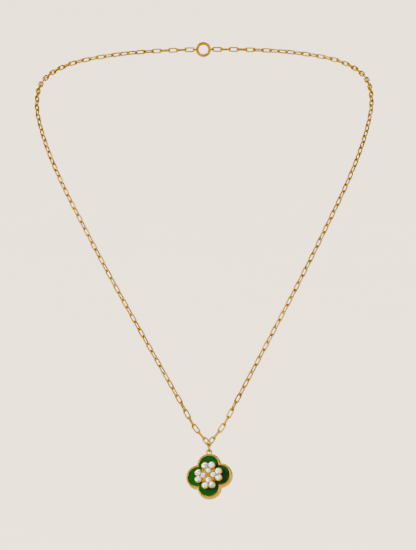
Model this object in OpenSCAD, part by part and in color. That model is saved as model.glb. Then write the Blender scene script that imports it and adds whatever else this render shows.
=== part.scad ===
// Charm necklace: a fine cable chain with a four-lobed enamel drop, worn round a neck.
// Millimetres. +Z is up and the wearer's front faces -Y. The origin is the point of the nape
// that the clasp rests on. The drop leans on the chest as it does when worn.

/* [Chain] */
// Thickness of the round wire that the links are bent from
chain_wire = 0.54; // [0.5:0.01:0.56]
// Outer width of one oval link
link_w = 2; // [1.96:0.01:2.1]
// Number of links from the jump ring to the clasp, on each side
links_per_side = 80; // [76:2:84]
// Clear space between a link and the link that it hangs in
link_gap = 0.14; // [0.13:0.01:0.15]
// Angle that the links are rolled from lying flat, so that the chain rests on the edges of all of them
link_roll = 45; // [40:1:50]

/* [Jump ring] */
// Outer diameter of the ring that joins the chain and the drop
ring_od = 3.6; // [3.4:0.1:4]
// Thickness of the ring's wire
ring_wire = 0.5; // [0.46:0.01:0.52]

/* [Drop] */
// Width of the drop across two opposite lobes
drop_w = 17.2; // [16.8:0.1:18]
// Distance from the middle of the drop to the middle of each lobe
lobe_at = 4.1; // [4:0.05:4.2]
// Width of the metal rim round the enamel
rim_w = 0.8; // [0.7:0.05:0.9]
// Height of the rim, from the back of the drop to its front edge
rim_h = 2.2; // [2:0.1:2.6]
// Thickness of the back plate
plate_t = 0.7; // [0.6:0.05:0.8]
// Depth of the enamel's surface below the rim
enamel_below = 0.25; // [0.15:0.05:0.4]
// Outer diameter of the loop on top of the drop
loop_od = 2.5; // [2.4:0.05:2.6]
// Thickness of the loop's wire
loop_wire = 0.65; // [0.6:0.05:0.65]

/* [Clover] */
// Height of the clover's metal above the rim
clover_rise = 0.75; // [0.6:0.05:1]
// Radius of the two round ends of each heart-shaped leaf
leaf_r = 1.38; // [1.37:0.01:1.42]
// Distance between the middles of a leaf's two round ends
leaf_spread = 2.44; // [2.4:0.02:2.5]
// Distance from the clover's middle to the line through those two round ends
leaf_reach = 3.75; // [3.7:0.05:3.8]

/* [Stones] */
// Diameter of the two outer stones of each leaf
outer_stone_d = 2.1; // [1.95:0.05:2.1]
// Diameter of the inner stone of each leaf
inner_stone_d = 1.8; // [1.65:0.05:1.8]
// Distance from the clover's middle to each inner stone
inner_stone_at = 1.85; // [1.8:0.05:1.9]

/* [Clasp] */
// Outer diameter of the clasp's round body
clasp_od = 6; // [5.5:0.1:6.5]
// Thickness of the clasp's body
clasp_wire = 1.2; // [1.1:0.05:1.3]
// Outer diameter of the eye at each end of the clasp
eye_od = 2.2; // [2.1:0.05:2.3]
// Thickness of the eyes' wire
eye_wire = 0.5; // [0.45:0.01:0.5]

/* [Pose] */
// Angle that the drop leans back from hanging straight down
lean = 31; // [29:1:33]
// Angle that the drop is turned towards the wearer's right
turn = 12; // [6:1:14]

/* [Hidden] */
leaf_names = ["top", "left", "bottom", "right"];
stones_in_leaf = 3;
stone_names = [for (leaf = leaf_names) for (i = [1:stones_in_leaf]) str("stone_", leaf, "_", i)];

$fn = 72;

gold = [0.87, 0.67, 0.35];
green = [0.02, 0.42, 0.08];
clear = [0.93, 0.93, 0.96];

// Small clearances
enamel_gap = 0.06;
seat_gap = 0.05;
hang_gap = 0.1;
ring_slack = 0.05;

// The drop in its own axes: x across, y up, z out of its front face, the middle of the rim at 0
back_z = -rim_h / 2;
front_z = rim_h / 2;
plate_z = back_z + plate_t;
enamel_z = front_z - enamel_below;
clover_z = front_z + clover_rise;
outer_r = drop_w / 2 - lobe_at;
inner_r = outer_r - rim_w;
loop_r = (loop_od - loop_wire) / 2;
// Depth that the loop's wire is sunk into the top of the rim
loop_sunk = 0.55;
loop_y = drop_w / 2 + loop_od / 2 - loop_sunk;
ring_r = (ring_od - ring_wire) / 2;
// The ring's lowest wire lies just under the top of the loop
ring_y = loop_y + loop_r - loop_wire / 2 - hang_gap - ring_wire / 2 + ring_r;
// Height of the ring's top wire above the middle of the drop: the chain hangs there
hang_y = ring_y + ring_r;

// The clover
leaf_tip = 0.4;
heart_half = leaf_spread / 2;
middle_r = 2.5;
vein_w = 0.36;
vein_l = 3.5;
ridge_w = 0.26;
ridge_rise = 0.14;
collar_w = 0.13;
collar_h = 0.12;
// Depth that each raised piece is sunk into what carries it
root = 0.1;
// Share of a leaf's round end that its straight side passes from the round end's middle
side_share = 0.93;

// Proportions of a round cut stone, as shares of its diameter
table_share = 0.56;
crown_share = 0.15;
girdle_share = 0.04;
pavilion_share = 0.42;
table_sides = 8;
edge_sides = 16;
point_d = 0.06;
// Thickness of the thin slices that end a stone, above and below
slice_t = 0.01;
// Height that a stone's seat is cut to, above the clover's top
seat_top = 1;

// The wearer's left side of the chain, from the ring's top wire to the clasp's eye. The right
// side is its mirror image. Columns: x, y, z of a point that the chain's middle passes through.
side_path = [
    [0, -140, -128],
    [5, -137, -122.5],
    [9.5, -133.2, -115],
    [18.5, -125.5, -99.8],
    [27.5, -118, -84.5],
    [36.5, -109.5, -69],
    [45, -99.5, -54],
    [53.5, -86, -39],
    [60.5, -68, -24.5],
    [63.5, -49, -14],
    [61, -28.5, -7],
    [51.5, -12.5, -3.3],
    [34, -2.8, -1.1],
    [16, 0.6, -0.2],
    [4.1, 1, 0],
];
bends_per_span = 12;

function unit(v) = v / norm(v);

// Slope of the path at point i, from the spans on both sides of it, longer spans counting less
function slope(path, i) =
    let (last = len(path) - 1)
    i == 0 ? unit(path[1] - path[0]) :
    i == last ? unit(path[last] - path[last - 1]) :
    let (
        before = path[i] - path[i - 1],
        after = path[i + 1] - path[i],
        a = norm(before),
        b = norm(after)
    )
    (before / a * b + after / b * a) / (a + b);

// Point at share t of the span after point i, on a smooth curve through all the points
function on_span(path, i, t) =
    let (
        d = norm(path[i + 1] - path[i]),
        t2 = t * t,
        t3 = t2 * t
    )
    (2 * t3 - 3 * t2 + 1) * path[i] + (t3 - 2 * t2 + t) * d * slope(path, i)
    + (3 * t2 - 2 * t3) * path[i + 1] + (t3 - t2) * d * slope(path, i + 1);

function smooth(path) = [
    for (i = [0:len(path) - 2]) for (k = [0:bends_per_span - 1]) on_span(path, i, k / bends_per_span),
    path[len(path) - 1]
];

// Distance along the curve at each of its points
function lengths(curve) = [
    for (
        i = 0, s = 0;
        i < len(curve);
        i = i + 1, s = s + (i < len(curve) ? norm(curve[i] - curve[i - 1]) : 0)
    ) s
];

curve = smooth(side_path);
curve_at = lengths(curve);
path_l = curve_at[len(curve_at) - 1];
x_table = [for (i = [0:len(curve) - 1]) [curve_at[i], curve[i][0]]];
y_table = [for (i = [0:len(curve) - 1]) [curve_at[i], curve[i][1]]];
z_table = [for (i = [0:len(curve) - 1]) [curve_at[i], curve[i][2]]];

// Point of the chain's middle at distance s from the ring's top wire. Past either end it runs on straight.
function along(s) =
    s < 0 ? curve[0] + s * slope(side_path, 0) :
    s > path_l ? curve[len(curve) - 1] + (s - path_l) * slope(side_path, len(side_path) - 1) :
    [lookup(s, x_table), lookup(s, y_table), lookup(s, z_table)];

// Radius of a link's round ends, along the middle of the wire
bend_r = (link_w - chain_wire) / 2;

// Two links meet at a joint, the point midway between their two wires. The ring's top wire lies a
// little above the middle of the first link's round end, and the last joint is just past the clasp's eye.
first_s = (chain_wire + link_gap) / 2 - bend_r - ring_slack;
last_s = path_l + (eye_wire + link_gap) / 2;
pitch = (last_s - first_s) / links_per_side;
// Length of a link between the middles of its two end bends, to the nearest 0.01
link_l = round(100 * (pitch + chain_wire + link_gap)) / 100;
joints = [for (k = [0:links_per_side]) along(first_s + k * pitch)];

// The untwisted side direction of the chain, carried from link to link. It starts square to the V's
// lower end, whose plane leans back this far from upright.
v_lean = 29;
v_normal = [0, -cos(v_lean), sin(v_lean)];
function square_to(v, t) = unit(v - (v * t) * t);
directions = [for (k = [0:links_per_side - 1]) unit(joints[k + 1] - joints[k])];
normals = [
    for (
        k = 0, n = square_to(v_normal, directions[0]);
        k < links_per_side;
        k = k + 1, n = k < links_per_side ? square_to(n, directions[k]) : n
    ) n
];

// The links roll by degrees: the first and the last lie flat, and this many links on the roll is complete
roll_run = 12;
function roll(k) =
    let (t = min(1, min(k, links_per_side - 1 - k) / roll_run))
    link_roll * (3 - 2 * t) * t * t;

// The two end links lie side by side on the ring's top wire, and the chains run back to the middle plane
side_step = (chain_wire + link_gap) / 2;
step_run = 20;
function side_shift(k) = side_step * max(0, 1 - k * pitch / step_run);

// One oval link with its length along y, lying in the x-y plane
module link() {
    straight = link_l - 2 * bend_r;
    for (end = [0, 180]) {
        rotate([0, 0, end]) {
            translate([0, straight / 2, 0])
                rotate_extrude(angle = 180) translate([bend_r, 0]) circle(d = chain_wire);
            translate([bend_r, 0, 0])
                rotate([90, 0, 0]) cylinder(h = straight, d = chain_wire, center = true);
        }
    }
}

// One side of the chain. side is 1 on the wearer's left and -1 on the right.
module chain_side(side) {
    for (k = [0:links_per_side - 1]) {
        t = directions[k];
        n = normals[k];
        a = roll(k) + (k % 2 == 0 ? 0 : 90);
        across = cos(a) * cross(t, n) + sin(a) * n;
        out = cos(a) * n - sin(a) * cross(t, n);
        middle = (joints[k] + joints[k + 1]) / 2 + side * side_shift(k) * v_normal;
        mirror([side < 0 ? 1 : 0, 0, 0])
            multmatrix([
                [across[0], t[0], out[0], middle[0]],
                [across[1], t[1], out[1], middle[1]],
                [across[2], t[2], out[2], middle[2]],
                [0, 0, 0, 1]
            ]) link();
    }
}

module chain_left() {
    color(gold) chain_side(1);
}

module chain_right() {
    color(gold) chain_side(-1);
}

// Puts a piece drawn in the drop's own axes where the drop hangs
module at_drop() {
    translate(side_path[0]) rotate([-lean, 0, 0]) rotate([0, 0, -turn])
        rotate([90, 0, 0]) translate([0, -hang_y, 0]) children();
}

module jump_ring() {
    color(gold) at_drop()
        translate([0, ring_y, 0]) rotate([0, 90, 0])
            rotate_extrude() translate([ring_r, 0]) circle(d = ring_wire);
}

// Outline with four round lobes of radius r
module quatrefoil(r) {
    polygon([[lobe_at, 0], [0, lobe_at], [-lobe_at, 0], [0, -lobe_at]]);
    for (a = [0:90:270]) rotate(a) translate([lobe_at, 0]) circle(r = r);
}

// Outline of one heart-shaped leaf that points up, grown by g. Its straight sides end inside its round ends.
module leaf_outline(g) {
    r = leaf_r + g;
    rise = leaf_reach - leaf_tip;
    far = norm([heart_half, rise]);
    side_angle = atan2(heart_half, rise) + asin(side_share * r / far);
    side_l = sqrt(far * far - side_share * side_share * r * r);
    side_end = [side_l * sin(side_angle), leaf_tip + side_l * cos(side_angle)];
    polygon([
        [0, leaf_tip], side_end, [heart_half, leaf_reach],
        [-heart_half, leaf_reach], [-side_end[0], side_end[1]]
    ]);
    for (s = [-1, 1]) translate([s * heart_half, leaf_reach]) circle(r = r);
}

// The whole clover's outline, grown by g
module clover_outline(g) {
    circle(r = middle_r + g);
    for (a = [0:90:270]) rotate(a) leaf_outline(g);
    for (a = [45:90:315]) rotate(a) translate([vein_l / 2, 0])
        square([vein_l + 2 * g, vein_w + 2 * g], center = true);
}

// Where the stones of one leaf lie while it points up. Columns: x, y, diameter.
leaf_stones = [
    [-heart_half, leaf_reach, outer_stone_d],
    [heart_half, leaf_reach, outer_stone_d],
    [0, inner_stone_at, inner_stone_d],
];

// Puts a piece at each stone's place, with $d as the stone's diameter
module at_stones() {
    for (a = [0:90:270]) rotate([0, 0, a]) for (s = leaf_stones) {
        $d = s[2];
        translate([s[0], s[1], clover_z]) children();
    }
}

// The room for one stone, cut from above: a cone for its underside and a cylinder round its edge
module stone_seat(d) {
    r = d / 2 + seat_gap;
    depth = d * pavilion_share + 2 * seat_gap;
    translate([0, 0, -depth]) cylinder(h = depth, r1 = seat_gap, r2 = r);
    cylinder(h = seat_top, r = r);
}

module pendant_frame() {
    color(gold) at_drop() difference() {
        union() {
            difference() {
                translate([0, 0, back_z]) linear_extrude(rim_h) quatrefoil(outer_r);
                translate([0, 0, plate_z]) linear_extrude(rim_h) quatrefoil(inner_r);
            }
            translate([0, 0, plate_z - root]) linear_extrude(clover_z - plate_z + root) clover_outline(0);
            for (a = [45, 135]) rotate([0, 0, a])
                translate([0, 0, clover_z + (ridge_rise - root) / 2])
                    cube([2 * vein_l - ridge_w, ridge_w, ridge_rise + root], center = true);
            at_stones() translate([0, 0, -root]) cylinder(h = collar_h + root, r = $d / 2 + collar_w);
            translate([0, loop_y, 0]) rotate_extrude() translate([loop_r, 0]) circle(d = loop_wire);
        }
        at_stones() stone_seat($d);
    }
}

module enamel() {
    color(green) at_drop()
        translate([0, 0, plate_z + enamel_gap]) linear_extrude(enamel_z - plate_z - enamel_gap) difference() {
            quatrefoil(inner_r - enamel_gap);
            clover_outline(enamel_gap);
        }
}

// A round cut stone with its widest edge at z = 0, a flat table above and a point below
module cut_stone(d) {
    hull() {
        rotate([0, 0, 180 / table_sides]) translate([0, 0, d * (crown_share + girdle_share) - slice_t])
            cylinder(h = slice_t, d = d * table_share, $fn = table_sides);
        cylinder(h = d * girdle_share, d = d, $fn = edge_sides);
        translate([0, 0, -d * pavilion_share]) cylinder(h = slice_t, d = point_d, $fn = table_sides);
    }
}

module stone(leaf, i) {
    place = leaf_stones[i - 1];
    color(clear) at_drop() rotate([0, 0, 90 * leaf])
        translate([place[0], place[1], clover_z]) cut_stone(place[2]);
}

// The clasp lies flat on the nape, with its two eyes square to it
clasp_r = (clasp_od - clasp_wire) / 2;
eye_r = (eye_od - eye_wire) / 2;
eye_x = side_path[len(side_path) - 1][0] - eye_r;
clasp_y = side_path[len(side_path) - 1][1];

module clasp() {
    color(gold) translate([0, clasp_y, 0]) {
        rotate([90, 0, 0]) rotate_extrude() translate([clasp_r, 0]) circle(d = clasp_wire);
        for (side = [-1, 1]) translate([side * eye_x, 0, 0])
            rotate_extrude() translate([eye_r, 0]) circle(d = eye_wire);
    }
}

chain_left();
chain_right();
jump_ring();
pendant_frame();
enamel();
clasp();
for (leaf = [0:len(leaf_names) - 1]) for (i = [1:stones_in_leaf])
    stone(leaf, i);
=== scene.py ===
# %% [markdown]
# # A charm necklace
# The object is a fine cable chain worn as a V, with one small drop on a jump ring. The drop is a
# gold tray with four round lobes, filled with green enamel. A raised gold clover stands in the
# enamel, and each of its leaves holds three round cut stones.
#
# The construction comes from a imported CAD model. This script keeps the CAD pieces whose shape is
# already right, and models the others again with the small roundings that catch the light. It
# ends with the floor, the light and the camera.

# %% Load the CAD model
import math
import random

import bmesh
import bpy
import numpy as np
from mathutils import Matrix, Vector


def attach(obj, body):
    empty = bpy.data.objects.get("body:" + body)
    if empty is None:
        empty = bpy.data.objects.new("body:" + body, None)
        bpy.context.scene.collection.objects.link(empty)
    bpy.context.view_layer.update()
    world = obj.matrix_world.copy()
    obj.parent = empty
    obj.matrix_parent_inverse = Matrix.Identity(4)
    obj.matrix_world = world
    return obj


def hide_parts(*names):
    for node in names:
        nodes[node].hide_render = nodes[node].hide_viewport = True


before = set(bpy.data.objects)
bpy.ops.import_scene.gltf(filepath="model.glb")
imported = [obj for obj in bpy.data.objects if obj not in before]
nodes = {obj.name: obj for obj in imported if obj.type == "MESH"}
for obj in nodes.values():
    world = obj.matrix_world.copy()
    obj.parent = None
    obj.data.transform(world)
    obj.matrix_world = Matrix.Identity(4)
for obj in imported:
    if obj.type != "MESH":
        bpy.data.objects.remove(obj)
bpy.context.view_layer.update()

# %% [markdown]
# ## Where the drop hangs
# A piece this small is easiest to model flat on the bench: millimetres, x across, y up and z out
# of its front. One matrix then carries it to its place. It reads from right to left: slide the
# top of the jump ring to the origin, stand the drop up, turn it a little, lean it back, move it
# to the point of the V, and go from millimetres to metres.

# %% The drop's own axes
MM = 0.001
HANGS_FROM = Vector((0, -140, -128))
HANG_Y = 12.65
LEAN = math.radians(31)
TURN = math.radians(12)
QUARTER = math.radians(90)

TO_DROP = (
    Matrix.Scale(MM, 4)
    @ Matrix.Translation(HANGS_FROM)
    @ Matrix.Rotation(-LEAN, 4, "X")
    @ Matrix.Rotation(-TURN, 4, "Z")
    @ Matrix.Rotation(QUARTER, 4, "X")
    @ Matrix.Translation((0, -HANG_Y, 0))
)
print("middle of the drop, in metres:", [round(v, 4) for v in TO_DROP.translation])

# %% [markdown]
# ## From a bmesh to a finished piece
# Every new piece ends the same way. Doubles are merged, the normals are turned outwards, and the
# shading is set: smooth over roundings, but crisp where two faces meet at a clear angle. Large
# flat faces are shaded flat, so that the rounding beside them doesn't bend their reflections.

# %% A helper that finishes pieces
CRISP = math.radians(38)
LIES_FLAT = 0.9999
DOUBLE = 1e-4


def to_object(bm, name, materials):
    """Turns a bmesh into an object of the scene."""
    mesh = bpy.data.meshes.new(name)
    bm.to_mesh(mesh)
    bm.free()
    for material in materials:
        mesh.materials.append(material)
    made = bpy.data.objects.new(name, mesh)
    bpy.context.scene.collection.objects.link(made)
    return made


def finish_piece(bm, name, body, materials, place=None, double=DOUBLE):
    """Turns a bmesh into a piece of the necklace that rides on a CAD body."""
    bmesh.ops.remove_doubles(bm, verts=bm.verts, dist=double)
    bmesh.ops.recalc_face_normals(bm, faces=bm.faces)
    for face in bm.faces:
        face.smooth = abs(face.normal.z) < LIES_FLAT or place is None
    for edge in bm.edges:
        edge.smooth = len(edge.link_faces) == 2 and edge.calc_face_angle(0) < CRISP
    open_edges = sum(1 for edge in bm.edges if len(edge.link_faces) != 2)
    if place is not None:
        bmesh.ops.transform(bm, matrix=place, verts=bm.verts)
    piece = to_object(bm, name, materials)
    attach(piece, body)
    print(name, "faces", len(piece.data.polygons), "open edges", open_edges)
    return piece


# %% [markdown]
# ## Node trees as sums
# A finish is a small sum: a base value, plus some noise, times a share. Written with nodes it
# takes a dozen lines, so a little class wraps a socket and lets Python's own operators add the
# Math nodes. Every other node comes from one method, which sets the node's choices first and its
# sockets after that. The short methods under it name the few nodes that come back again and
# again.

# %% A wire between nodes
PER_MM = (1000, 1000, 1000)


class Wire:
    """An output socket. Sums on it add Math nodes, and node() adds any other node."""

    def __init__(self, socket):
        self.socket = socket

    def node(self, kind, settings, inputs, output=0):
        """Adds a node, sets its choices, then its sockets by name or identifier."""
        made = self.socket.id_data.nodes.new(kind)
        for key, value in settings.items():
            setattr(made, key, value)
        for key, value in inputs.items():
            named = [s for s in made.inputs if s.identifier == key]
            socket = named[0] if named else made.inputs[key]
            if isinstance(value, Wire):
                self.socket.id_data.links.new(value.socket, socket)
            else:
                socket.default_value = value
        named = [s for s in made.outputs if s.identifier == output]
        return Wire(named[0] if named else made.outputs[output])

    def maths(self, operation, first, second):
        """A Math node on two numbers or wires."""
        inputs = {"Value": first, "Value_001": second}
        return self.node("ShaderNodeMath", {"operation": operation}, inputs)

    def __add__(self, other):
        return self.maths("ADD", self, other)

    __radd__ = __add__

    def __mul__(self, other):
        return self.maths("MULTIPLY", self, other)

    __rmul__ = __mul__

    def blend(self, low, high):
        """The colour between low and high at this share."""
        colours = {"Factor_Float": self, "A_Color": low, "B_Color": high}
        return self.node("ShaderNodeMix", {"data_type": "RGBA"}, colours, "Result_Color")

    def noise(self, scale, detail):
        """Soft noise from 0 to 1, read at this wire's coordinates."""
        inputs = {"Vector": self, "Scale": scale, "Detail": detail}
        return self.node("ShaderNodeTexNoise", {}, inputs, "Fac")

    def in_mm(self):
        """Coordinates in millimetres, where this wire has them in metres."""
        return self.node("ShaderNodeMapping", {}, {"Vector": self, "Scale": PER_MM})

    def carried(self, name):
        """A number that each point or face of the piece carries under that name."""
        return self.node("ShaderNodeAttribute", {"attribute_name": name}, {}, "Fac")

    def bump(self, strength, depth):
        """Normals that follow this wire as a height, depth metres at most."""
        inputs = {"Height": self, "Strength": strength, "Distance": depth}
        return self.node("ShaderNodeBump", {}, inputs, "Normal")


# %% A new material, its shader and its coordinates
def new_material(name, **constants):
    """Makes a material, with constants on its shader's own sockets.

    It returns the material, the shader, and a wire of Object coordinates.
    """
    material = bpy.data.materials.new(name)
    material.use_nodes = True
    tree = material.node_tree
    shader = tree.nodes["Principled BSDF"]
    for key, value in constants.items():
        shader.inputs[key.replace("_", " ")].default_value = value
    coordinates = tree.nodes.new("ShaderNodeTexCoord")
    return material, shader, Wire(coordinates.outputs["Object"])


def feed(shader, **wires):
    """Links wires to the shader's sockets."""
    for key, wire in wires.items():
        wire.socket.id_data.links.new(wire.socket, shader.inputs[key.replace("_", " ")])


# %% [markdown]
# ## Gold
# The metal is brass under a thin gold plating. Plating is never one even colour: it is a little
# paler where it is thick, and polishing leaves very fine marks that soften the reflections. So
# two golds are mixed by a slow noise, and a fine noise moves the roughness and the surface. Each
# link of the chain also carries a number of its own, "tone", because no two links come out of
# the plating bath quite alike. A piece without that number reads it as 0.
#
# A metal turns pale where it is seen at a very flat angle, and on thin round wire that is much of
# what is seen. The tint for such angles is golden too, so that the wire keeps its colour. The
# chain's gold is deeper and a little rougher than the drop's, which is cast and polished by hand.

# %% The gold finish
EDGE_TINT = (1.0, 0.66, 0.16, 1)
CHAIN_GOLD = ((0.36, 0.18, 0.001, 1), (0.76, 0.43, 0.003, 1))
CAST_GOLD = ((0.72, 0.42, 0.015, 1), (0.98, 0.65, 0.05, 1))
PLATING_SHARE = 0.9
TONE_SHARE = 0.5
POLISH_ROUGHNESS = 0.16
TONE_ROUGHNESS = 0.06
MARK_DEPTH = 0.01 * MM


def gold(name, colours, roughness, grain, marks):
    """Polished gold plating between two colours.

    grain is the scale of its polishing marks per millimetre, and marks is their strength.
    """
    material, shader, metres = new_material(name, Metallic=1.0, Specular_Tint=EDGE_TINT)
    bench = metres.in_mm()
    tone = metres.carried("tone")
    plating = bench.noise(scale=0.7, detail=2.0)
    polish = bench.noise(scale=grain, detail=4.0)
    share = plating * PLATING_SHARE + tone * TONE_SHARE
    feed(shader, Base_Color=share.blend(*colours))
    least = roughness - POLISH_ROUGHNESS / 2
    feed(shader, Roughness=polish * POLISH_ROUGHNESS + tone * TONE_ROUGHNESS + least)
    feed(shader, Normal=polish.bump(marks, MARK_DEPTH))
    return material


chain_gold = gold("chain_gold", CHAIN_GOLD, roughness=0.28, grain=5.0, marks=0.35)
cast_gold = gold("cast_gold", CAST_GOLD, roughness=0.20, grain=7.0, marks=0.5)
print("nodes in a gold:", len(chain_gold.node_tree.nodes))

# %% [markdown]
# ## The chain
# A cable chain is bent from round wire: oval links, each turned a quarter against the next. The
# CAD model has every link in its place, but its mesh is loose triangles. Here one link is
# modelled well, and a copy is laid on each CAD link. A link is repeated 160 times, so it has few
# faces: a seven-ring bend at each end, of a wire with eight sides.
#
# The bend is a circle of wire spun half a turn. A mirror makes the other end, and bridging the
# open ends gives the two straight sides.

# %% One link
WIRE_SIDES = 8
BEND_STEPS = 6


def ring_of(bm, radius, sides, matrix):
    """A closed loop of edges round a circle."""
    made = bmesh.ops.create_circle(
        bm, cap_ends=False, segments=sides, radius=radius, matrix=matrix,
    )
    return [edge for edge in bm.edges if all(v in made["verts"] for v in edge.verts)]


def link_shape(length, width, wire):
    """An oval link of round wire with its length along y, in the x-y plane."""
    bm = bmesh.new()
    bend = (width - wire) / 2
    straight = length - width
    start = Matrix.Translation((bend, straight / 2, 0)) @ Matrix.Rotation(QUARTER, 4, "X")
    section = ring_of(bm, wire / 2, WIRE_SIDES, start)
    bmesh.ops.spin(
        bm, geom=section, cent=(0, straight / 2, 0), axis=(0, 0, 1),
        angle=math.pi, steps=BEND_STEPS,
    )
    everything = bm.verts[:] + bm.edges[:] + bm.faces[:]
    bmesh.ops.mirror(bm, geom=everything, matrix=Matrix.Identity(4), merge_dist=0, axis="Y")
    for right in (True, False):
        open_here = [
            e for e in bm.edges
            if len(e.link_faces) == 1 and (e.verts[0].co.x > 0) == right
        ]
        bmesh.ops.bridge_loops(bm, edges=open_here)
    bmesh.ops.recalc_face_normals(bm, faces=bm.faces)
    for face in bm.faces:
        face.smooth = True
    mesh = bpy.data.meshes.new("one_link")
    bm.to_mesh(mesh)
    bm.free()
    return mesh


# %% [markdown]
# Each loose part of a CAD chain is one link. Its middle, and the three axes that its area is
# spread along, say how it lies: longest along the link, then across it, then through it. The
# links are taken in the order of their faces, so that each gets the same tone on every run.

# %% Measure the CAD links
LINK_DOUBLE = 1e-7


def loose_parts(node):
    """The loose parts of a CAD node, each as an array of triangles."""
    bm = bmesh.new()
    bm.from_mesh(node.data)
    bmesh.ops.remove_doubles(bm, verts=bm.verts, dist=LINK_DOUBLE)
    bm.faces.index_update()
    seen = set()
    parts = []
    for first in bm.faces:
        if first in seen:
            continue
        part = set()
        reached = {first}
        while reached:
            part |= reached
            reached = {f for g in reached for e in g.edges for f in e.link_faces} - part
        seen |= part
        in_order = sorted(part, key=lambda face: face.index)
        parts.append(np.array([[v.co for v in face.verts] for face in in_order]))
    bm.free()
    return parts


def lie_of(triangles):
    """The middle, axes and size of one link. The axes' columns are across, along and through."""
    a, b, c = triangles[:, 0], triangles[:, 1], triangles[:, 2]
    area = np.linalg.norm(np.cross(b - a, c - a), axis=1) / 2
    centre = (a + b + c) / 3
    middle = (centre * area[:, None]).sum(0) / area.sum()
    # a triangle spreads like its corners and nine times its centre, at a twelfth of its area
    spread = np.zeros((3, 3))
    for points, weight in ((a, 1), (b, 1), (c, 1), (centre, 9)):
        away = points - middle
        spread += weight * np.einsum("n,ni,nj->ij", area / 12, away, away)
    _, axes = np.linalg.eigh(spread)
    across, along = axes[:, 1], axes[:, 2]
    through = np.cross(across, along)
    axes = np.column_stack([across, along, through])
    size = np.ptp(triangles.reshape(-1, 3) @ axes, axis=0)
    return middle, axes, size


chains = {}
for side in ("chain_left", "chain_right"):
    chains[side] = [lie_of(part) for part in loose_parts(nodes[side])]
    sizes = np.array([size for _, _, size in chains[side]]) / MM
    print(side, "links", len(chains[side]), "across, along, through", sizes.mean(0).round(3))

# %% [markdown]
# The CAD links are a little slim, because solids that move need clear space between them, and
# real links touch. A wire with eight sides is also thinner between its corners than a round one.
# So each new link is made a few hundredths of a millimetre fuller than the one it is laid on.

# %% Lay a link on each CAD link
CHAIN_SEED = 11
FULLER = 0.08 * MM
WIRE_DOUBLE = 1e-8
chance = random.Random(CHAIN_SEED)

for side, links in chains.items():
    width, length, wire = np.array([size for _, _, size in links]).mean(0) + FULLER
    shape = link_shape(length, width, wire)
    bm = bmesh.new()
    tone = bm.verts.layers.float.new("tone")
    for middle, axes, _ in links:
        first = len(bm.verts)
        bm.from_mesh(shape)
        bm.verts.ensure_lookup_table()
        fresh = bm.verts[first:]
        place = Matrix(axes.tolist()).to_4x4()
        place.translation = Vector(middle)
        bmesh.ops.transform(bm, matrix=place, verts=fresh)
        own = chance.random()
        for vert in fresh:
            vert[tone] = own
    name = side.replace("chain", "links")
    links_piece = finish_piece(bm, name, "chain", [chain_gold], double=WIRE_DOUBLE)
    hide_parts(side)

# %% [markdown]
# ## The drop's outline
# The tray's outline is four arcs that meet in four inward points. Drawing it by hand would take a
# list of points. Instead one vertex is spun round a lobe's middle, and the arc is turned into
# place three more times. Loops of other radii and heights follow the same rule, so a rounded rim
# is a stack of loops with faces bridged between them.

# %% Arcs, lines and stacks of loops
LOBE_AT = 4.1
LOBE_STEPS = 36
ENDS_MEET = 1e-3


def arc(bm, start, centre, degrees, steps):
    """Spins a vertex round a centre and returns the last vertex of the arc."""
    made = bmesh.ops.spin(
        bm, geom=[start], cent=(*centre, start.co.z), axis=(0, 0, 1),
        angle=math.radians(degrees), steps=steps,
    )
    return [g for g in made["geom_last"] if isinstance(g, bmesh.types.BMVert)][0]


def line(bm, start, end):
    """Extrudes a vertex to a point at the same height and returns the new vertex."""
    vert = bmesh.ops.extrude_vert_indiv(bm, verts=[start])["verts"][0]
    vert.co.x, vert.co.y = end
    return vert


def ends_of(edges):
    """The vertices of some edges, each once, in the order of the edges."""
    return list(dict.fromkeys(v for e in edges for v in e.verts))


def four_times(bm, before):
    """Turns the edges that are new since before into place three more times, and joins them."""
    drawn = [e for e in bm.edges if e not in before]
    bmesh.ops.spin(
        bm, geom=ends_of(drawn) + drawn, cent=(0, 0, 0), axis=(0, 0, 1),
        angle=math.radians(270), steps=3, use_duplicate=True,
    )
    fresh = [e for e in bm.edges if e not in before]
    bmesh.ops.remove_doubles(bm, verts=ends_of(fresh), dist=ENDS_MEET)
    return [e for e in bm.edges if e not in before]


def quatrefoil(bm, radius, z):
    """A loop with four round lobes of that radius."""
    before = set(bm.edges)
    cusp = (LOBE_AT + math.sqrt(2 * radius * radius - LOBE_AT * LOBE_AT)) / 2
    half = math.degrees(math.atan2(cusp, cusp - LOBE_AT))
    start = bm.verts.new((cusp, -cusp, z))
    arc(bm, start, (LOBE_AT, 0), 2 * half, LOBE_STEPS)
    return four_times(bm, before)


def stack(bm, loop, profile):
    """Draws a loop at each (value, z), bridges them, and returns the first and the last loop."""
    loops = [loop(bm, value, z) for value, z in profile]
    for low, high in zip(loops, loops[1:]):
        bmesh.ops.bridge_loops(bm, edges=low + high)
    return loops[0], loops[-1]


def rounded(corner, radius, start, end, steps):
    """Points (value, z) of a rounded corner, from one direction to another, in degrees."""
    turns = [math.radians(start + (end - start) * i / steps) for i in range(steps + 1)]
    return [(corner[0] + radius * math.cos(t), corner[1] + radius * math.sin(t)) for t in turns]


# %% [markdown]
# ## The tray
# A cast and polished rim has no sharp edge. Its section goes round the back edge, up the outside
# wall, over the front edge and down inside to the floor under the enamel.

# %% The tray's rim and plate
OUTER_R = 4.5
INNER_R = 3.7
BACK_Z = -1.1
PLATE_Z = -0.4
FRONT_Z = 1.1
BACK_ROUND = 0.25
RIM_OUTER_ROUND = 0.34
RIM_INNER_ROUND = 0.2
RIM_CROWN = 0.012

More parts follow.
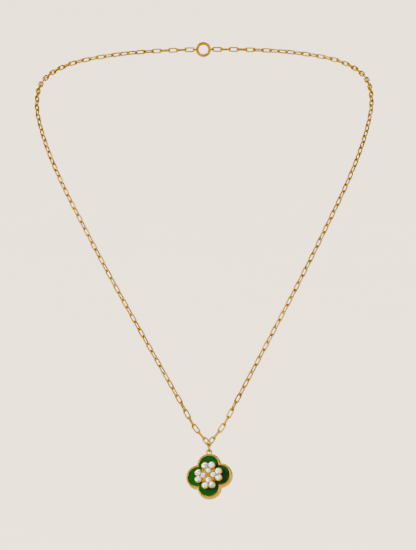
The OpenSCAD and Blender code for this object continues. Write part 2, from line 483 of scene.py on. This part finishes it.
drop = bmesh.new()
back_corner = (OUTER_R - BACK_ROUND, BACK_Z + BACK_ROUND)
outer_corner = (OUTER_R - RIM_OUTER_ROUND, FRONT_Z - RIM_OUTER_ROUND)
inner_corner = (INNER_R + RIM_INNER_ROUND, FRONT_Z - RIM_INNER_ROUND)
crown_at = (OUTER_R - RIM_OUTER_ROUND + INNER_R + RIM_INNER_ROUND) / 2
rim = (
    rounded(back_corner, BACK_ROUND, start=-90, end=0, steps=4)
    + rounded(outer_corner, RIM_OUTER_ROUND, start=0, end=90, steps=5)
    + [(crown_at, FRONT_Z + RIM_CROWN)]
    + rounded(inner_corner, RIM_INNER_ROUND, start=90, end=180, steps=4)
    + [(INNER_R, PLATE_Z)]
)
back_loop, floor_loop = stack(drop, quatrefoil, rim)
for loop in (back_loop, floor_loop):
    bmesh.ops.contextual_create(drop, geom=loop)
print("tray faces", len(drop.faces))

# %% [markdown]
# ## The clover
# The clover stands in the enamel like a small island with flat-topped, rounded edges. Between
# the leaves runs a narrow vein. Its outline is drawn once for an eighth of the shape: round the
# end of the vein, along it to the round middle, along the leaf's straight side, and round the
# leaf's shoulder to its notch. A mirror and three turns do the rest. The number g grows the
# outline or shrinks it, which gives the rounded edge.

# %% The clover's outline
LEAF_R = 1.38
HEART_HALF = 1.22
LEAF_REACH = 3.75
LEAF_TIP = 0.4
SIDE_SHARE = 0.93
MIDDLE_R = 2.5
VEIN_W = 0.36
VEIN_L = 3.5
SHORT_STEPS = 3
SHOULDER_STEPS = 16
ALONG_VEIN = Vector((1, 1)).normalized()
OFF_VEIN = Vector((-1, 1)).normalized()


def angle_of(point, centre=(0, 0)):
    """Direction of a point from a centre, in degrees."""
    return math.degrees(math.atan2(point[1] - centre[1], point[0] - centre[0]))


def clover(bm, g, z):
    """A loop round the whole clover, grown by g."""
    before = set(bm.edges)
    r = LEAF_R + g
    middle = MIDDLE_R + g
    vein = VEIN_W / 2 + g
    shoulder = (HEART_HALF, LEAF_REACH)
    rise = LEAF_REACH - LEAF_TIP
    far = math.hypot(HEART_HALF, rise)
    lean = math.atan2(HEART_HALF, rise) + math.asin(SIDE_SHARE * r / far)
    side = Vector((math.sin(lean), math.cos(lean)))
    tip = Vector((0, LEAF_TIP))
    # the side leaves the round middle at inner, and meets the round shoulder at outer
    b = tip.dot(side)
    inner = tip + side * (-b + math.sqrt(b * b + middle * middle - LEAF_TIP * LEAF_TIP))
    to_level = math.sqrt(far * far - (SIDE_SHARE * r) ** 2)
    outer = tip + side * (to_level - r * math.sqrt(1 - SIDE_SHARE * SIDE_SHARE))
    notch = (0, LEAF_REACH + math.sqrt(r * r - HEART_HALF * HEART_HALF))
    vein_end = ALONG_VEIN * (VEIN_L + g)
    vein_root = ALONG_VEIN * math.sqrt(middle * middle - vein * vein) + OFF_VEIN * vein
    middle_turn = angle_of(inner) - angle_of(vein_root)
    shoulder_turn = angle_of(notch, shoulder) - angle_of(outer, shoulder)

    vert = bm.verts.new((*vein_end, z))
    vert = arc(bm, vert, vein_end - ALONG_VEIN * vein, 90, SHORT_STEPS)
    vert = line(bm, vert, vein_root)
    vert = arc(bm, vert, (0, 0), middle_turn, SHORT_STEPS)
    vert = line(bm, vert, outer)
    arc(bm, vert, shoulder, shoulder_turn, SHOULDER_STEPS)
    drawn = [e for e in bm.edges if e not in before]
    bmesh.ops.mirror(
        bm, geom=ends_of(drawn) + drawn, matrix=Matrix.Identity(4), merge_dist=ENDS_MEET,
        axis="X",
    )
    return four_times(bm, before)


# %% [markdown]
# ## The stone seats
# Each stone sits in a cone that is drilled into the leaf, inside a thin raised collar. The top
# of the clover is filled between its outline and twelve circles, and each circle then climbs
# over its collar and goes down into its seat, again as a stack of loops.

# %% Where the stones sit
OUTER_STONE = 2.1
INNER_STONE = 1.8
INNER_STONE_AT = 1.85
LEAF_STONES = [
    (-HEART_HALF, LEAF_REACH, OUTER_STONE),
    (HEART_HALF, LEAF_REACH, OUTER_STONE),
    (0, INNER_STONE_AT, INNER_STONE),
]
LEAVES = ("top", "left", "bottom", "right")


def stone_places():
    """Name, x, y and diameter of each stone in the drop's own axes."""
    for turn, leaf in enumerate(LEAVES):
        for i, (x, y, d) in enumerate(LEAF_STONES):
            spot = Matrix.Rotation(math.radians(90 * turn), 2) @ Vector((x, y))
            yield f"{leaf}_{i + 1}", spot.x, spot.y, d


print("stones", [name for name, x, y, d in stone_places()])

# %% The clover with its seats
ENAMEL_Z = 0.85
CLOVER_Z = 1.85
CLOVER_ROUND = 0.1
CLOVER_ROOT = 0.4
COLLAR_W = 0.13
COLLAR_H = 0.12
COLLAR_STEPS = 6
SEAT_GAP = 0.03
SEAT_SIDES = 32
PAVILION = 0.42


def circle_at(x, y):
    """A rule that draws a circle round x, y, for a stack of loops."""
    def circle(bm, radius, z):
        return ring_of(bm, radius, SEAT_SIDES, Matrix.Translation((x, y, z)))

    return circle


edge_corner = (-CLOVER_ROUND, CLOVER_Z - CLOVER_ROUND)
top_edge = rounded(edge_corner, CLOVER_ROUND, start=0, end=90, steps=4)
root_loop, top_loop = stack(drop, clover, [(0, ENAMEL_Z - CLOVER_ROOT)] + top_edge)
bmesh.ops.contextual_create(drop, geom=root_loop)

rims = []
for name, x, y, d in stone_places():
    out = d / 2 + COLLAR_W
    inside = d / 2 + SEAT_GAP
    lip = (out - inside) / 2
    lip_at = (out - lip, CLOVER_Z + COLLAR_H - lip)
    over = rounded(lip_at, lip, start=0, end=180, steps=COLLAR_STEPS)
    down = [(inside, CLOVER_Z), (SEAT_GAP, CLOVER_Z - d * PAVILION - SEAT_GAP)]
    start, end = stack(drop, circle_at(x, y), [(out, CLOVER_Z)] + over + down)
    bmesh.ops.contextual_create(drop, geom=end)
    rims += start
bmesh.ops.triangle_fill(drop, use_beauty=True, edges=top_loop + rims, normal=(0, 0, 1))
print("tray and clover faces", len(drop.faces))

# %% [markdown]
# ## Veins, grains and the loop
# A raised line runs along each diagonal of the clover. It is a sphere with its two halves moved
# apart, which makes a rod with round ends. The grains that hold each stone are small balls that
# lap over its edge. The loop on top is a circle of wire, spun a full turn and merged where it
# closes.

# %% Raised veins
VEIN_ROD = 0.17
VEIN_HALF = 3.1
ROD_SIDES = 12
ROD_RINGS = 9


def rod(bm, radius, half, matrix):
    """A straight rod along x with round ends."""
    made = bmesh.ops.create_uvsphere(
        bm, u_segments=ROD_SIDES, v_segments=ROD_RINGS, radius=radius,
        matrix=Matrix.Rotation(QUARTER, 4, "Y"),
    )["verts"]
    for vert in made:
        vert.co.x += math.copysign(half, vert.co.x)
    bmesh.ops.transform(bm, matrix=matrix, verts=made)


for degrees in (45, 135):
    turned = Matrix.Rotation(math.radians(degrees), 4, "Z")
    rod(drop, VEIN_ROD, VEIN_HALF, Matrix.Translation((0, 0, CLOVER_Z)) @ turned)
print("with veins, faces", len(drop.faces))

# %% Grains that hold the stones
GRAIN_R = 0.13
GRAIN_OUT = GRAIN_R / 4
GRAIN_Z = CLOVER_Z + COLLAR_H
GRAINS = 4
FIRST_GRAIN = 45
GRAIN_SIDES = 8
GRAIN_RINGS = 6

for name, x, y, d in stone_places():
    for k in range(GRAINS):
        angle = math.radians(FIRST_GRAIN + 360 * k / GRAINS) + math.atan2(y, x)
        away = d / 2 + GRAIN_OUT
        spot = Vector((x + away * math.cos(angle), y + away * math.sin(angle), GRAIN_Z))
        bmesh.ops.create_uvsphere(
            drop, u_segments=GRAIN_SIDES, v_segments=GRAIN_RINGS, radius=GRAIN_R,
            matrix=Matrix.Translation(spot),
        )
print("with grains, faces", len(drop.faces))

# %% The loop on top
LOOP_WIRE = 0.65
LOOP_R = 0.925
LOOP_Y = 9.3
LOOP_WIRE_SIDES = 14
LOOP_STEPS = 36

upright = Matrix.Translation((LOOP_R, LOOP_Y, 0)) @ Matrix.Rotation(QUARTER, 4, "X")
section = ring_of(drop, LOOP_WIRE / 2, LOOP_WIRE_SIDES, upright)
bmesh.ops.spin(
    drop, geom=section, cent=(0, LOOP_Y, 0), axis=(0, 0, 1),
    angle=math.radians(360), steps=LOOP_STEPS, use_merge=True,
)
drop_frame = finish_piece(drop, "drop_frame", "drop", [cast_gold], TO_DROP)
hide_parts("pendant_frame")

# %% [markdown]
# ## Enamel
# Enamel is laid in the tray as a paste and fired, so it clings to the wall with a small upward
# curve and swells a little towards the middle. Its colour is deeper where the fill is thick, so
# two greens are mixed by a slow noise, under a clear glossy coat that ripples a little.

# %% The enamel's finish
GREENS = ((0.0, 0.010, 0.0005, 1), (0.0005, 0.030, 0.001, 1))
RIPPLE_DEPTH = 0.02 * MM
fired_enamel, shader, metres = new_material(
    "fired_enamel", Coat_Weight=1.0, Coat_Roughness=0.03, Coat_IOR=1.38, Specular_IOR_Level=0.0,
)
bench = metres.in_mm()
cloud = bench.noise(scale=0.45, detail=3.0)
ripple = bench.noise(scale=1.6, detail=1.0)
feed(shader, Base_Color=cloud.blend(*GREENS))
feed(shader, Roughness=ripple * 0.08 + 0.04)
feed(shader, Normal=ripple.bump(0.25, RIPPLE_DEPTH))
print("nodes in the enamel:", len(fired_enamel.node_tree.nodes))

# %% [markdown]
# The fill is a stack of loops: a narrow underside, the wall that it laps into, and the curve by
# which it clings. The last loop is then extruded inwards, step by step, under the clover. The
# swelling is set from each vertex's distance from the middle, which keeps it smooth.

# %% The enamel fill
TRAY_GAP = 0.05
WALL_LAP = 0.02
WALL_FROM = 0.3
CLING = 0.07
CLING_CURVE = [(0.03, 0.6), (0.1, 0.2), (0.22, 0)]
FIELD_EDGE = 0.5
FIELD_DIP = 0.005
FIELD_SHARES = (0.85, 0.7, 0.5, 0.3)
SWELL = 0.22
SWELL_DEPTH = 0.1
REACH = 7.8

fill = bmesh.new()
section = [
    (INNER_R - TRAY_GAP, PLATE_Z + TRAY_GAP),
    (INNER_R + WALL_LAP, ENAMEL_Z - WALL_FROM),
    (INNER_R + WALL_LAP, ENAMEL_Z + CLING),
]
section += [(INNER_R - away, ENAMEL_Z + share * CLING) for away, share in CLING_CURVE]
section += [(INNER_R - FIELD_EDGE, ENAMEL_Z - FIELD_DIP)]
under_loop, edges = stack(fill, quatrefoil, section)
bmesh.ops.contextual_create(fill, geom=under_loop)
last = 1
for share in FIELD_SHARES:
    made = bmesh.ops.extrude_edge_only(fill, edges=edges)["geom"]
    fresh = [g for g in made if isinstance(g, bmesh.types.BMVert)]
    edges = [g for g in made if isinstance(g, bmesh.types.BMEdge)]
    bmesh.ops.scale(fill, vec=(share / last, share / last, 1), verts=fresh)
    last = share
bmesh.ops.contextual_create(fill, geom=edges)
for vert in fill.verts:
    if vert.co.z > ENAMEL_Z - SWELL_DEPTH:
        away = min(vert.co.xy.length / REACH, 1)
        vert.co.z += SWELL * (1 - away * away)
enamel_fill = finish_piece(fill, "enamel_fill", "drop", [fired_enamel], TO_DROP)
for polygon in enamel_fill.data.polygons:
    polygon.use_smooth = True
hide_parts("enamel")

# %% [markdown]
# ## Cut stones
# A round brilliant has a flat eight-sided table, a crown of kites and triangles, a thin edge and
# a pointed underside. The underside of such a small stone is backed with foil, which throws the
# light back: that is why it looks white.
#
# In a real stone each facet shows the light of another direction, so some are bright and some
# dark. At this size refraction alone would average that away. So the glints and dark reflections
# are painted: each facet carries a painted brightness of its own, which blends a dark grey, the
# painted dark reflection, with a white that leans to blue or to rose, the painted glint.

# %% The stones' finish, with painted glints and painted dark reflections
# each facet's painted brightness runs from a dark grey, a painted dark reflection, to a white, a
# painted glint
WHITES = ((0.90, 0.97, 1.0, 1), (1.0, 0.90, 0.97, 1))
CROWN_PAINTED_DARK = (0.06, 0.06, 0.10, 1)
FOIL_PAINTED_DARK = (0.42, 0.42, 0.52, 1)

cut_stone, shader, metres = new_material(
    "cut_stone", Transmission_Weight=0.25, Roughness=0.03, IOR=1.8,
)
bench = metres.in_mm()
painted_glint = metres.carried("painted_glint")
glint_white = bench.noise(scale=1.1, detail=0.0).blend(*WHITES)
feed(shader, Base_Color=painted_glint.blend(CROWN_PAINTED_DARK, glint_white))

stone_foil, shader, metres = new_material("stone_foil", Metallic=0.6)
bench = metres.in_mm()
painted_glint = metres.carried("painted_glint")
glint_white = bench.noise(scale=2.3, detail=0.0).blend(*WHITES)
feed(shader, Base_Color=painted_glint.blend(FOIL_PAINTED_DARK, glint_white))
feed(shader, Roughness=bench.noise(scale=9.0, detail=1.0) * 0.2 + 0.2)
print("stone finishes:", cut_stone.name, stone_foil.name)

# %% [markdown]
# If a stone's corner points are in the right places, its facets are simply the convex hull of
# those points, so rings of points are made and wrapped. Flat facets that the hull cut in two are
# joined again. The table alone is divided in eight, because the inside of a stone seen through
# its table glitters too, and each part takes a painted glint of its own. The facets are then put
# in order, so that each gets the same painted glint on every run.

# %% One stone, one millimetre across
TABLE_R = 0.28
GIRDLE_R = 0.5
GIRDLE_H = 0.04
CROWN_H = 0.15
STAR_R = 0.4
LOWER_R = 0.15
HALF_FACET = 22.5
COPLANAR = math.radians(0.5)
FACES_UP = 0.99
BELOW_EDGE = -0.001
PER_HEIGHT = 1000
FIRST_TURN = 1


def facet_z(radius, from_r, from_z, to_r, to_z):
    """Height of a point in the plane of a main facet, half a facet to the side of its middle."""
    share = (radius * math.cos(math.radians(HALF_FACET)) - from_r) / (to_r - from_r)
    return from_z + (to_z - from_z) * share


def facet_place(face):
    """A number that differs from facet to facet: its height first, and its direction next."""
    x, y, z = face.calc_center_median()
    return PER_HEIGHT * z + (math.degrees(math.atan2(y, x)) + FIRST_TURN) % 360


def brilliant_shape():
    """A round cut stone with its edge at z = 0."""
    bm = bmesh.new()
    table_z = GIRDLE_H + CROWN_H
    star_z = facet_z(STAR_R, TABLE_R, table_z, GIRDLE_R, GIRDLE_H)
    lower_z = facet_z(LOWER_R, 0, -PAVILION, GIRDLE_R, 0)
    rings = [
        (8, TABLE_R, table_z, 0),
        (8, STAR_R, star_z, HALF_FACET),
        (16, GIRDLE_R, GIRDLE_H, 0),
        (16, GIRDLE_R, 0, 0),
        (8, LOWER_R, lower_z, HALF_FACET),
    ]
    for corners, radius, z, turn in rings:
        place = Matrix.Translation((0, 0, z)) @ Matrix.Rotation(math.radians(turn), 4, "Z")
        bmesh.ops.create_circle(bm, cap_ends=False, segments=corners, radius=radius, matrix=place)
    bm.verts.new((0, 0, -PAVILION))
    bmesh.ops.delete(bm, geom=bm.edges[:], context="EDGES_FACES")
    bmesh.ops.convex_hull(bm, input=bm.verts[:])
    bmesh.ops.dissolve_limit(bm, angle_limit=COPLANAR, verts=bm.verts[:], edges=bm.edges[:])
    table = [f for f in bm.faces if len(f.verts) == 8 and f.normal.z > FACES_UP]
    bmesh.ops.poke(bm, faces=table)
    bm.faces.sort(key=facet_place)
    for face in bm.faces:
        face.material_index = 1 if face.calc_center_median().z < BELOW_EDGE else 0
    return bm


# %% Set the stones
STONE_SEED = 5
MOST_GLINT = 1.8
CONTRAST = 3
TABLE_SHARE = 0.8
MOST_TIP = 1.5
chance = random.Random(STONE_SEED)

for name, x, y, d in stone_places():
    bm = brilliant_shape()
    painted_glint = bm.faces.layers.float.new("painted_glint")
    # each facet gets a random painted brightness: high is a painted glint, low a painted dark
    # reflection, and the table's painted glint is a little dimmer
    for face in bm.faces:
        level = min(1, chance.uniform(0, MOST_GLINT)) ** CONTRAST
        face[painted_glint] = TABLE_SHARE * level if face.normal.z > FACES_UP else level
    spin = Matrix.Rotation(chance.uniform(0, 2 * math.pi), 4, "Z")
    tip = Matrix.Rotation(math.radians(chance.uniform(-MOST_TIP, MOST_TIP)), 4, "X")
    place = TO_DROP @ Matrix.Translation((x, y, CLOVER_Z)) @ tip @ spin @ Matrix.Scale(d, 4)
    materials = [cut_stone, stone_foil]
    stone = finish_piece(bm, f"brilliant_{name}", "drop", materials, place)
    for polygon in stone.data.polygons:
        polygon.use_smooth = False
    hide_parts(f"stone_{name}")

# %% [markdown]
# ## The jump ring and the clasp
# Both are plain round wire, and the CAD meshes are already fine and smooth. They stay as they
# are and take the gold finish in their material slots.

# %% Finish the CAD pieces that stay
for name in ("jump_ring", "clasp"):
    nodes[name].data.materials.clear()
    nodes[name].data.materials.append(chain_gold)
    print(name, "keeps its CAD mesh of", len(nodes[name].data.polygons), "triangles")

# %% [markdown]
# ## Floor
# A plain pale floor lies a little below the drop. The camera looks down on it at a small angle,
# so it fills the picture. It has a faint mottle, so that it doesn't look like a cut-out.
#
# It is only as bright as it has to be: the wire is about as thin as a pixel of the picture, and a
# brilliant floor behind it would wash out its colour. Its mirror image is kept off the metal for
# the same reason, so that the gold reflects the surroundings and the soft panels alone.

# %% The floor
FLOOR_Z = -0.185
FLOOR_HALF = 9
CARD = ((0.70, 0.58, 0.44, 1), (0.73, 0.61, 0.465, 1))
floor_card, shader, metres = new_material("floor_card", Roughness=0.9)
feed(shader, Base_Color=metres.noise(scale=14.0, detail=4.0).blend(*CARD))
bm = bmesh.new()
bmesh.ops.create_grid(
    bm, x_segments=1, y_segments=1, size=FLOOR_HALF, matrix=Matrix.Translation((0, 0, FLOOR_Z)),
)
floor = to_object(bm, "floor", [floor_card])
floor.visible_glossy = False

# %% [markdown]
# ## Wall
# Seen from a low angle, the floor ends in a hard line against the surroundings. A wide round wall
# of about the floor's own brightness hides that line. Only the camera sees it: it casts no shadow
# and gives no light, so the metal and the stones look the same with it and without it.

# %% The round wall
WALL_R = 8.6
WALL_H = 14
WALL_SIDES = 96
WALL_SINKS = 0.01
WALL_GLOW = 3.6
GLOWS = ((1.0, 0.82, 0.61, 1), (1.0, 0.83, 0.62, 1))
wall_card, shader, metres = new_material(
    "wall_card", Base_Color=(0, 0, 0, 1), Specular_IOR_Level=0.0, Emission_Strength=WALL_GLOW,
)
feed(shader, Emission_Color=metres.noise(scale=0.8, detail=2.0).blend(*GLOWS))
bm = bmesh.new()
bmesh.ops.create_cone(
    bm, cap_ends=False, segments=WALL_SIDES, radius1=WALL_R, radius2=WALL_R, depth=WALL_H,
    matrix=Matrix.Translation((0, 0, FLOOR_Z + WALL_H / 2 - WALL_SINKS)),
)
wall = to_object(bm, "wall", [wall_card])
for kind in ("diffuse", "glossy", "transmission", "volume_scatter", "shadow"):
    setattr(wall, f"visible_{kind}", False)
print("wall faces", len(wall.data.polygons))

# %% [markdown]
# ## Light
# The light is soft daylight-like studio light. Its main source stands on the left and only a
# little above, so it grazes the drop's face: the clover shades the right-hand lobes and the rim
# glows. The source's own mirror image is kept off the metal, where it would burn out.

# %% The key light
WARM = (1.0, 0.97, 0.93)
KEY_FROM = Vector((-0.93, 0.04, 0.43))
KEY_STRENGTH = 33
KEY_SPREAD = math.radians(14)

data = bpy.data.lights.new("key", "SUN")
data.energy = KEY_STRENGTH
data.angle = KEY_SPREAD
data.color = WARM
key = bpy.data.objects.new("key", data)
key.rotation_euler = (-KEY_FROM).to_track_quat("-Z", "Y").to_euler()
key.visible_glossy = False
bpy.context.scene.collection.objects.link(key)
print("key light's height, in degrees:", round(math.degrees(math.asin(KEY_FROM.normalized().z)), 1))

# %% [markdown]
# A soft panel in front and one at the left fill the shadows and lie on the metal as broad bright
# reflections. Three small ones put sparkle in the stones.

# %% Panels
AIM = Vector((0, -0.1, -0.09))
SOFT = (1.0, 0.98, 0.95)
WHITE = (1.0, 1.0, 1.0)
PANELS = [
    ("fill", (0.9, -1.7, 0.9), 0.9, 8, SOFT),
    ("side", (-1.3, -0.5, 0.7), 0.8, 9, SOFT),
    ("sparkle_1", (-1.1, -0.9, 0.45), 0.16, 1.2, WHITE),
    ("sparkle_2", (-0.35, -0.5, 1.3), 0.16, 1.2, WHITE),
    ("sparkle_3", (1.3, -0.7, 0.55), 0.16, 1.2, WHITE),
]
for name, place, size, watts, colour in PANELS:
    data = bpy.data.lights.new(name, "AREA")
    data.size = size
    data.energy = watts
    data.color = colour
    lamp = bpy.data.objects.new(name, data)
    lamp.location = place
    lamp.rotation_euler = (AIM - Vector(place)).to_track_quat("-Z", "Y").to_euler()
    bpy.context.scene.collection.objects.link(lamp)
    print(name, "panel,", round((AIM - Vector(place)).length, 2), "m away")

# %% [markdown]
# The surroundings are pale to a little above the horizon and dim overhead, like bright walls
# under a dark ceiling. Metal shows what is around it, so the dark half gives it its contrast.

# %% Surroundings
WALL_TOP = 0.2
CEILING_FROM = 0.55
WALL_LIGHT = (1.25, 1.21, 1.15, 1)
CEILING_LIGHT = (0.48, 0.46, 0.43, 1)
world = bpy.data.worlds.new("studio")
world.use_nodes = True
background = world.node_tree.nodes["Background"]
direction = Wire(world.node_tree.nodes.new("ShaderNodeTexCoord").outputs["Generated"])
height = direction.node("ShaderNodeSeparateXYZ", {}, {"Vector": direction}, "Z")
limits = {"Value": height, "From Min": WALL_TOP, "From Max": CEILING_FROM}
up = height.node("ShaderNodeMapRange", {}, limits, "Result")
feed(background, Color=up.blend(WALL_LIGHT, CEILING_LIGHT))
bpy.context.scene.world = world
print("nodes in the surroundings:", len(world.node_tree.nodes))

# %% [markdown]
# ## Camera
# The picture was taken from about 1.8 metres away and a little above, with a long lens. The
# camera stands at the same point, so the V has the same perspective, and a longer lens lets the
# necklace fill the picture. It is rolled a little, as the picture is.

# %% The camera
CAMERA_AT = Vector((-0.001, -1.909, 0.228))
LOOK_AT = Vector((0.0005, -0.104, -0.0715))
SENSOR = 36
PHOTO_LENS = 143.7
CLOSER = 2.25
ROLL = math.radians(-0.78)
NEAR = 0.05
FAR = 40

data = bpy.data.cameras.new("camera")
data.sensor_width = SENSOR
data.lens = PHOTO_LENS * CLOSER
data.clip_start = NEAR
data.clip_end = FAR
camera = bpy.data.objects.new("camera", data)
aim = (LOOK_AT - CAMERA_AT).to_track_quat("-Z", "Y").to_matrix().to_4x4()
camera.matrix_world = Matrix.Translation(CAMERA_AT) @ aim @ Matrix.Rotation(ROLL, 4, "Z")
bpy.context.scene.collection.objects.link(camera)
bpy.context.scene.camera = camera
print("camera to the necklace, in metres:", round((LOOK_AT - CAMERA_AT).length, 3))
